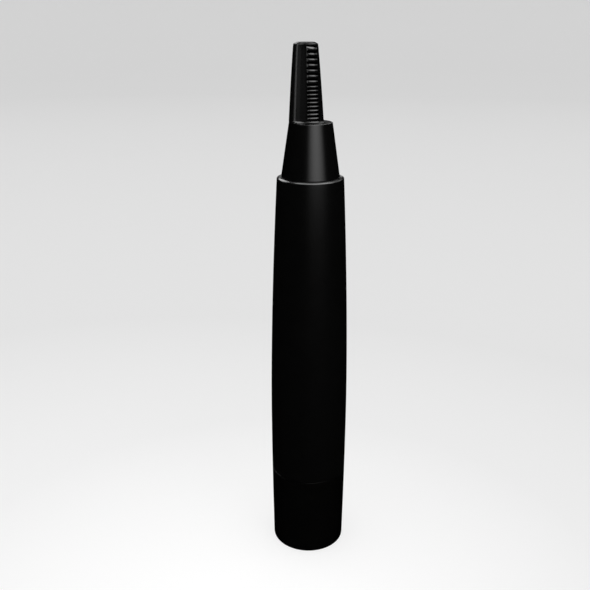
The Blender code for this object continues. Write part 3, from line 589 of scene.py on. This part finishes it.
# ---------------------------------------------------------------- handle
def make_shell():
    """The handle's tube, with a rounded shoulder at its top and the slider's pocket in its back."""
    shoulder = []
    inner_edge = NECK_BASE_RADIUS + 0.03
    steps = 10
    for i in range(steps + 1):
        turn = math.pi / 2 * (1 - i / steps)
        radius = inner_edge + (handle_radius(SHOULDER_Z) - inner_edge) * math.cos(turn)
        shoulder.append((radius, SHOULDER_Z + SHOULDER_RISE * math.sin(turn), 0.0))
    inside = [
        (MOUTH_RADIUS, SEAM_HIGH, 0.1),
        (MOUTH_RADIUS, SEAM_HIGH + MOUTH_DEPTH, 0.1),
        (CELL_BAY_RADIUS, SEAM_HIGH + MOUTH_DEPTH, 0.1),
        (CELL_BAY_RADIUS, CELL_BAY_TOP, 1.0),
        (MOTOR_BAY_RADIUS, MOTOR_BAY_BOTTOM, 1.0),
        (MOTOR_BAY_RADIUS, MOTOR_BAY_TOP, 2.0),
        (TAPPET_BAY_RADIUS, TAPPET_BAY_BOTTOM, 2.0),
        (TAPPET_BAY_RADIUS, SOCKET_BOTTOM, 0.1),
        (SOCKET_RADIUS, SOCKET_BOTTOM, 0.1),
        (SOCKET_RADIUS, SHOULDER_TOP, 0.15),
    ]
    side = handle_side(SHOULDER_Z, SEAM_HIGH, 60)[1:-1]
    corner = (handle_radius(SEAM_HIGH), SEAM_HIGH, SEAM_EDGE)
    shell = revolve("shell", rounded(shoulder + side + [corner] + inside))
    boolean(shell, box_tool(POCKET_LOW, POCKET_HIGH, POCKET_EDGE, 5), "DIFFERENCE")
    boolean(shell, box_tool(STEM_SLOT_LOW, STEM_SLOT_HIGH), "DIFFERENCE")
    return stand_for(shell, "housing_shell", "handle")


def make_cap():
    """The handle's bottom end: a cup with a thinner collar that plugs into the shell."""
    inside = [
        (0.0, CAP_FLOOR, 0.0),
        (CAP_BORE_RADIUS, CAP_FLOOR, 0.6),
        (CAP_BORE_RADIUS, SEAM_LOW - 2.5, 0.5),
        (COLLAR_BORE_RADIUS, SEAM_LOW - 1.5, 0.5),
        (COLLAR_BORE_RADIUS, SEAM_LOW + COLLAR_HEIGHT, 0.2),
        (COLLAR_RADIUS, SEAM_LOW + COLLAR_HEIGHT, 0.25),
        (COLLAR_RADIUS, SEAM_LOW, 0.05),
        (handle_radius(SEAM_LOW), SEAM_LOW, SEAM_EDGE),
    ]
    side = handle_side(SEAM_LOW, 0.0, 24)[1:-1]
    base = [
        (handle_radius(0.0), 0.0, 0.25),
        (BASE_RING_OUTER, 0.0, 0.1),
        (BASE_RING_OUTER - 0.2, BASE_RING_DEPTH, 0.1),
        (BASE_RING_INNER + 0.2, BASE_RING_DEPTH, 0.1),
        (BASE_RING_INNER, 0.0, 0.1),
        (0.0, 0.0, 0.0),
    ]
    outline = rounded(inside + side + base)
    cap = revolve("cap", outline, closed=False)
    return stand_for(cap, "battery_cap", "cap")


# ---------------------------------------------------------------- head
def make_neck():
    """The cone between handle and tip, with its spigot and the seat for the guard's flange."""
    corners = [
        (FLANGE_SEAT_RADIUS, LEDGE, 0.05),
        (NECK_TOP_RADIUS, LEDGE, 0.15),
        (NECK_BASE_RADIUS, NECK_BASE, 0.08),
        (SPIGOT_RADIUS, NECK_BASE, 0.05),
        (SPIGOT_RADIUS, GROOVE_TOP, 0.1),
        (GROOVE_RADIUS, GROOVE_TOP, 0.2),
        (GROOVE_RADIUS, GROOVE_BOTTOM, 0.2),
        (SPIGOT_RADIUS, GROOVE_BOTTOM, 0.1),
        (SPIGOT_RADIUS, SPIGOT_BOTTOM, 0.35),
        (NECK_BORE_RADIUS, SPIGOT_BOTTOM, 0.2),
        (NECK_BORE_RADIUS, NECK_BORE_TOP, 1.0),
        (NECK_MOUTH_RADIUS, NECK_MOUTH_BOTTOM, 0.4),
        (NECK_MOUTH_RADIUS, NECK_TOP - FLANGE_SEAT_DEPTH, 0.0),
        (FLANGE_SEAT_RADIUS, NECK_TOP - FLANGE_SEAT_DEPTH, 0.0),
    ]
    return stand_for(revolve("neck", rounded(corners)), "head_cone", "head")


def sweep_tool(side, x_start, x_end, section, tilt=0.0, steps=24, ease=0.0):
    """Sweep a (depth, height) section round the tip's wall, from x_start to x_end(height) off the tip's axis.

    section is a function of the way along the sweep, from 0 to 1. depth is outwards from the wall's surface.
    side is -1 for the camera's side and 1 for the back. ease rounds the sweep's two ends over that distance,
    by pulling the section's outer points in.
    """
    sections = []
    for i in range(steps + 1):
        ring = []
        for depth, height in section(i / steps):
            end = x_end(height)
            x = x_start + (end - x_start) * i / steps
            fade = 1.0 if ease <= 0.0 else min(1.0, min(x - x_start, end - x) / ease)
            rise = math.sqrt(max(0.0, 1.0 - (1.0 - fade) ** 2))
            level = height - math.tan(tilt) * (x - (x_start + end) / 2)
            radius = tip_radius(level) + (depth * rise if depth > 0.0 else depth)
            turn = math.asin(max(-1.0, min(1.0, x / tip_radius(level))))
            ring.append((tip_axis_x(level) + radius * math.sin(turn), side * radius * math.cos(turn), level))
        sections.append(ring)
    return loft("tool", sections)


def pad_outer_x(height):
    return slot_outer_x(height) - PAD_OUTER_MARGIN


def guard_limit(radius):
    return FLANGE_RADIUS if radius == FLANGE_REACH else NECK_TOP_RADIUS


def lip_section(height, pitch):
    """One slot's cut, with a sloping lip below it that hooks down the tooth at the sweep's start."""
    tooth = pitch - SLOT_HEIGHT
    lip = min(LIP_HEIGHT, LIP_SHARE * tooth)
    hook = HOOK_SHARE * tooth - lip
    bottom = height - SLOT_HEIGHT / 2
    top = height + SLOT_HEIGHT / 2
    outside = TOOTH_RISE + TOOTH_CLEARANCE
    depth = LIP_SLOPE * lip

    def section(way):
        drop = hook if way < HOOK_LENGTH else 0.0
        return [
            (CUT_DEPTH, bottom),
            (TOOTH_RISE - depth - drop / 2, bottom),
            (outside, bottom - lip - drop),
            (outside, top),
            (CUT_DEPTH, top),
        ]

    return section


def make_guard():
    """The slotted guard: a thin cone on a flared foot and a flange, with raised teeth between its slots."""
    roof = TOP - GUARD_ROOF
    flare = []
    for i in range(FLARE_STEPS + 1):
        turn = math.pi / 2 * i / FLARE_STEPS
        height = LEDGE + FLARE_HEIGHT * (1 - math.sin(turn))
        flare.append((tip_radius(height) + FLARE_WIDTH * (1 - math.cos(turn)), height, 0.0))
    wall_top = TOP - WALL_TOP_MARGIN
    wall_foot = LEDGE + WALL_FOOT_MARGIN
    wall = [wall_top - (wall_top - wall_foot) * i / WALL_STEPS for i in range(WALL_STEPS + 1)]
    corners = [(0.0, TOP, 0.0), (END_FACE_RADIUS, TOP, END_FACE_EDGE), (END_RADIUS, TOP - END_DROP, END_EDGE)]
    corners += [(tip_radius(height), height, 0.0) for height in wall] + flare
    corners += [
        (FLANGE_REACH, LEDGE, 0.0),
        (FLANGE_REACH, LEDGE - FLANGE_THICKNESS, 0.0),
        (TIP_BASE_RADIUS - GUARD_WALL, LEDGE - FLANGE_THICKNESS, 0.0),
        (tip_radius(roof) - GUARD_WALL, roof, 0.3),
        (0.0, roof, 0.0),
    ]
    outline = rounded(corners, 6)
    guard = revolve("guard", outline, GUARD_SIDES, axis_x=tip_axis_x, closed=False, limit=guard_limit)
    heights = slot_heights()
    pad_low = heights[-1] - PAD_FOOT_MARGIN
    pad_high = heights[0]
    pad = [
        (PAD_ROOT, pad_high),
        (TOOTH_RISE, pad_high),
        (TOOTH_RISE, pad_low + PAD_RAMP),
        (0.0, pad_low),
        (PAD_ROOT, pad_low),
    ]
    pads = []
    slots = []
    for side in (-1, 1):
        pads.append(sweep_tool(side, PAD_INNER_X, pad_outer_x, lambda way: pad, steps=28, ease=PAD_EASE))
        places = side_heights(side, heights)
        for height, below in zip(places, places[1:] + [places[-1] - FINE_PITCH]):
            outer_x = slot_outer_x(height)
            section = lip_section(height, height - below)
            tilt = slot_tilt(height)
            slots.append(sweep_tool(side, SLOT_INNER_X, lambda z: outer_x, section, tilt))
    boolean(guard, merged("pads", pads), "UNION")
    boolean(guard, merged("slots", slots), "DIFFERENCE")
    return stand_for(guard, "guard_tube", "head")


def make_blade():
    """The moving comb: a half cone behind the slots, with slots of its own between the guard's."""
    outset = GUARD_WALL + BLADE_GAP
    top = high("cutter_blade").z
    bottom = low("cutter_blade").z
    outer_top = tip_radius(top) - outset
    outer_base = tip_radius(TIP_BASE_Z) - outset
    corners = [
        (outer_top, top, 0.1),
        (outer_base, TIP_BASE_Z, 0.0),
        (outer_base, bottom, 0.1),
        (outer_base - BLADE_WALL, bottom, 0.1),
        (outer_base - BLADE_WALL, TIP_BASE_Z, 0.0),
        (outer_top - BLADE_WALL, top, 0.1),
    ]
    blade = revolve("blade", rounded(corners), BLADE_SIDES, axis_x=tip_axis_x)
    back_x = tip_axis_x(TOP) - BLADE_BACK
    boolean(blade, box_tool((-CLEAR, -CLEAR, bottom - CLEAR), (back_x, CLEAR, top + CLEAR)), "DIFFERENCE")
    heights = slot_heights()
    tools = []
    for upper, lower in zip(heights[1:], heights[2:]):
        height = (upper + lower) / 2
        axis = tip_axis_x(height)
        outer_x = axis + tip_radius(height) - outset - BLADE_RIM
        half = BLADE_SLOT_HEIGHT / 2
        tools.append(box_tool((axis + SLOT_INNER_X, -CLEAR, height - half), (outer_x, CLEAR, height + half)))
    boolean(blade, merged("combs", tools), "DIFFERENCE")
    return stand_for(blade, "cutter_blade", "cutter")


# ---------------------------------------------------------------- switch
def make_knob():
    """The slider: a crowned pad with thumb ridges, on its stem."""
    bottom = low("switch_knob").z
    top = high("switch_knob").z
    seat = KNOB_SEAT_Y
    face = high("switch_knob").y
    half_width = high("switch_knob").x
    pitch = (top - bottom - 2 * KNOB_MARGIN) / KNOB_RIDGES
    outline = [(seat, top, 0.15), (seat, bottom, 0.15), (face - KNOB_SHOULDER, bottom, 0.4)]
    for ridge in range(KNOB_RIDGES):
        start = bottom + KNOB_MARGIN + pitch * ridge
        outline += [(face - RIDGE_DEPTH, start, 0.08), (face, start + pitch * RIDGE_SHARE, 0.12)]
    outline += [(face - RIDGE_DEPTH, top - KNOB_MARGIN, 0.08), (face - KNOB_SHOULDER, top, 0.4)]
    points = rounded(outline, 3)
    sections = []
    for i in range(KNOB_STEPS + 1):
        x = -half_width + 2 * half_width * i / KNOB_STEPS
        crown = KNOB_CROWN * (x / half_width) ** 4
        sections.append([(x, y - crown * (y - seat) / (face - seat), z) for y, z in points])
    knob = loft("knob", sections)
    boolean(knob, box_tool(STEM_LOW, STEM_HIGH, 0.1, 2), "UNION")
    return stand_for(knob, "switch_knob", "switch")


# ---------------------------------------------------------------- studio
def card(name, azimuth, elevation, distance, width, height, radiance, pieces, state="EXCLUDE", feather=False):
    """A soft rectangular light that faces the tip's foot, placed by its direction from there.

    azimuth is from the camera's side (-Y) towards +X, and elevation is above the horizon, in degrees.
    The light leaves out the given pieces, or with state INCLUDE falls on them alone. A feathered card
    fades from its middle to its left and right edges.
    """
    turn = math.radians(azimuth)
    rise = math.radians(elevation)
    back = Vector((math.sin(turn) * math.cos(rise), -math.cos(turn) * math.cos(rise), math.sin(rise)))
    data = bpy.data.lights.new(name, "AREA")
    data.shape = "RECTANGLE"
    data.size = width
    data.size_y = height
    data.energy = radiance * math.pi * width * height
    if feather:
        feather_sides(data)
    light = new_object(name, data)
    light.location = Vector((0.0, 0.0, LIGHT_AIM)) + back * distance
    light.rotation_euler = back.to_track_quat("Z", "Y").to_euler()
    light.visible_camera = False
    linked = bpy.data.collections.new(name + "_linking")
    for piece in pieces:
        linked.objects.link(piece)
    for entry in linked.collection_objects:
        entry.light_linking.link_state = state
    light.light_linking.receiver_collection = linked


def feather_sides(data):
    """Light strength (1 - t^2)^2 across the card, where t is 0 in the middle and 1 at its two sides."""
    data.use_nodes = True
    tree = data.node_tree
    place = tree.nodes.new("ShaderNodeNewGeometry")
    split = tree.nodes.new("ShaderNodeSeparateXYZ")
    tree.links.new(place.outputs["Parametric"], split.inputs["Vector"])
    value = split.outputs["X"]
    steps = [("SUBTRACT", 0.5), ("MULTIPLY", 2.0), ("POWER", 2.0), ("SUBTRACT", 1.0), ("POWER", 2.0)]
    for operation, other in steps:
        step = tree.nodes.new("ShaderNodeMath")
        step.operation = operation
        step.inputs[1].default_value = other
        tree.links.new(value, step.inputs[0])
        value = step.outputs["Value"]
    tree.links.new(value, tree.nodes["Emission"].inputs["Strength"])


def make_floor():
    """A pale floor that curves up into a low, wide rim all round, seen directly but not in the gloss, and
    glowing with painted light: a painted pool of light to the front-left, dimming further off, and a painted
    glow round the foot that fills in the object's shadow there.
    """
    profile = [(0.0, 0.0)]
    for i in range(FLOOR_STEPS + 1):
        turn = math.pi / 2 * i / FLOOR_STEPS
        profile.append((FLOOR_FLAT + FLOOR_RIM * math.sin(turn), FLOOR_RIM * (1 - math.cos(turn))))
    profile.append((FLOOR_FLAT + FLOOR_RIM, FLOOR_TOP))
    outline = [(radius / MM, height / MM) for radius, height in profile]
    floor = revolve("floor", outline, FLOOR_SIDES, closed=False)
    shader = Shader("pale_floor_painted_glow", specular=0.0)
    shader.colour(shader.noise(3.0), (0.35, 0.35, 0.35), (0.36, 0.36, 0.36))
    shader.bsdf.inputs["Roughness"].default_value = 1.0
    # Painted light: the floor glows. The glow is a painted pool of light round a point to the front-left,
    # dimming further off, plus a painted glow round the foot that fills in the object's shadow there.
    shader.bsdf.inputs["Emission Color"].default_value = (1.0, 1.0, 1.0, 1.0)
    away = shader.node("ShaderNodeVectorMath")
    away.operation = "DISTANCE"
    away.inputs[1].default_value = (-0.05, -0.10, 0.0)
    shader.link(shader.place, away.inputs[0])
    painted_pool_glow = shader.remap(away.outputs["Value"], 0.66, 0.46, 0.02, 0.28)
    painted_far_dimming = shader.remap(away.outputs["Value"], 0.0, 0.10, 0.30, 1.50)
    foot = shader.node("ShaderNodeVectorMath")
    foot.operation = "DISTANCE"
    foot.inputs[1].default_value = (-0.01, -0.03, 0.0)
    shader.link(shader.place, foot.inputs[0])
    painted_foot_glow = shader.remap(foot.outputs["Value"], 0.11, 0.0, 0.015, 0.10)
    value = painted_pool_glow
    for operation, other in (("SUBTRACT", painted_far_dimming), ("ADD", painted_foot_glow)):
        lit = shader.node("ShaderNodeMath")
        lit.operation = operation
        shader.link(value, lit.inputs[0])
        shader.link(other, lit.inputs[1])
        value = lit.outputs["Value"]
    shader.link(value, shader.bsdf.inputs["Emission Strength"])
    floor.data.materials.append(shader.material)
    floor.visible_glossy = False
    return floor


def make_world():
    world = bpy.data.worlds.new("studio")
    bpy.context.scene.world = world
    world.use_nodes = True
    background = world.node_tree.nodes["Background"]
    background.inputs["Color"].default_value = (1.0, 1.0, 1.0, 1.0)
    background.inputs["Strength"].default_value = 1.0
    world.cycles_visibility.glossy = False


def make_camera():
    data = bpy.data.cameras.new("camera")
    data.sensor_width = 36.0
    data.lens = CAMERA_LENS
    data.clip_start = 0.01
    data.clip_end = 20.0
    camera = new_object("camera", data)
    camera.location = CAMERA_PLACE
    camera.rotation_euler = (math.pi / 2 - CAMERA_DOWN, 0.0, 0.0)
    bpy.context.scene.camera = camera


def make_lights(tip, blade, shell, cap, neck, knob, floor):
    """Cards for the handle and neck, then small ones for the tip alone, then one for the floor."""
    inner = [tip, blade]
    card("key", 24.0, 14.2, 0.55, 0.95, 0.30, 2.2, inner + [floor], feather=True)
    card("overhead", 60.0, 80.0, 0.60, 0.90, 0.90, 5.5, inner + [floor, cap])
    card("overhead_tip", 60.0, 80.0, 0.60, 0.90, 0.90, 0.15, [tip], "INCLUDE")
    card("back_left", -140.0, 34.0, 0.60, 0.60, 0.26, 3.8, inner + [floor, neck])
    card("back_right", 135.0, 34.0, 0.60, 0.50, 0.26, 0.7, [floor, blade])
    card("back_strip", 178.0, 0.0, 0.60, 0.16, 0.16, 1.5, [shell, cap, neck, knob], "INCLUDE")
    card("back_low", -178.0, 9.5, 0.60, 0.50, 0.12, 0.13, [tip, neck], "INCLUDE")
    card("left_high", -68.0, 50.0, 0.60, 0.52, 0.52, 4.2, [tip], "INCLUDE")
    card("left_strip", -83.0, 18.0, 0.50, 0.11, 0.40, 1.4, [tip], "INCLUDE")
    card("left_fill", -56.0, 6.0, 0.50, 0.22, 0.14, 0.22, [tip], "INCLUDE")
    card("front_fill", -22.0, 6.0, 0.50, 0.35, 0.14, 0.08, [tip], "INCLUDE")
    card("teeth", 66.0, 46.0, 0.60, 0.60, 0.44, 3.8, [tip], "INCLUDE")
    card("hooks", 15.0, 46.0, 0.60, 0.22, 0.40, 1.2, [tip], "INCLUDE")
    card("rim_left", -166.0, 28.0, 0.60, 0.30, 0.20, 1.7, [tip], "INCLUDE")
    card("rim_right", 170.0, 50.0, 0.60, 0.40, 0.20, 0.7, [tip], "INCLUDE")
    card("pool", 40.0, 50.0, 0.90, 0.30, 0.30, 0.8, [floor], "INCLUDE")


finish_frame()
shell = make_shell()
cap = make_cap()
neck = make_neck()
tip = make_guard()
blade = make_blade()
knob = make_knob()
floor = make_floor()
make_world()
make_camera()
make_lights(tip, blade, shell, cap, neck, knob, floor)
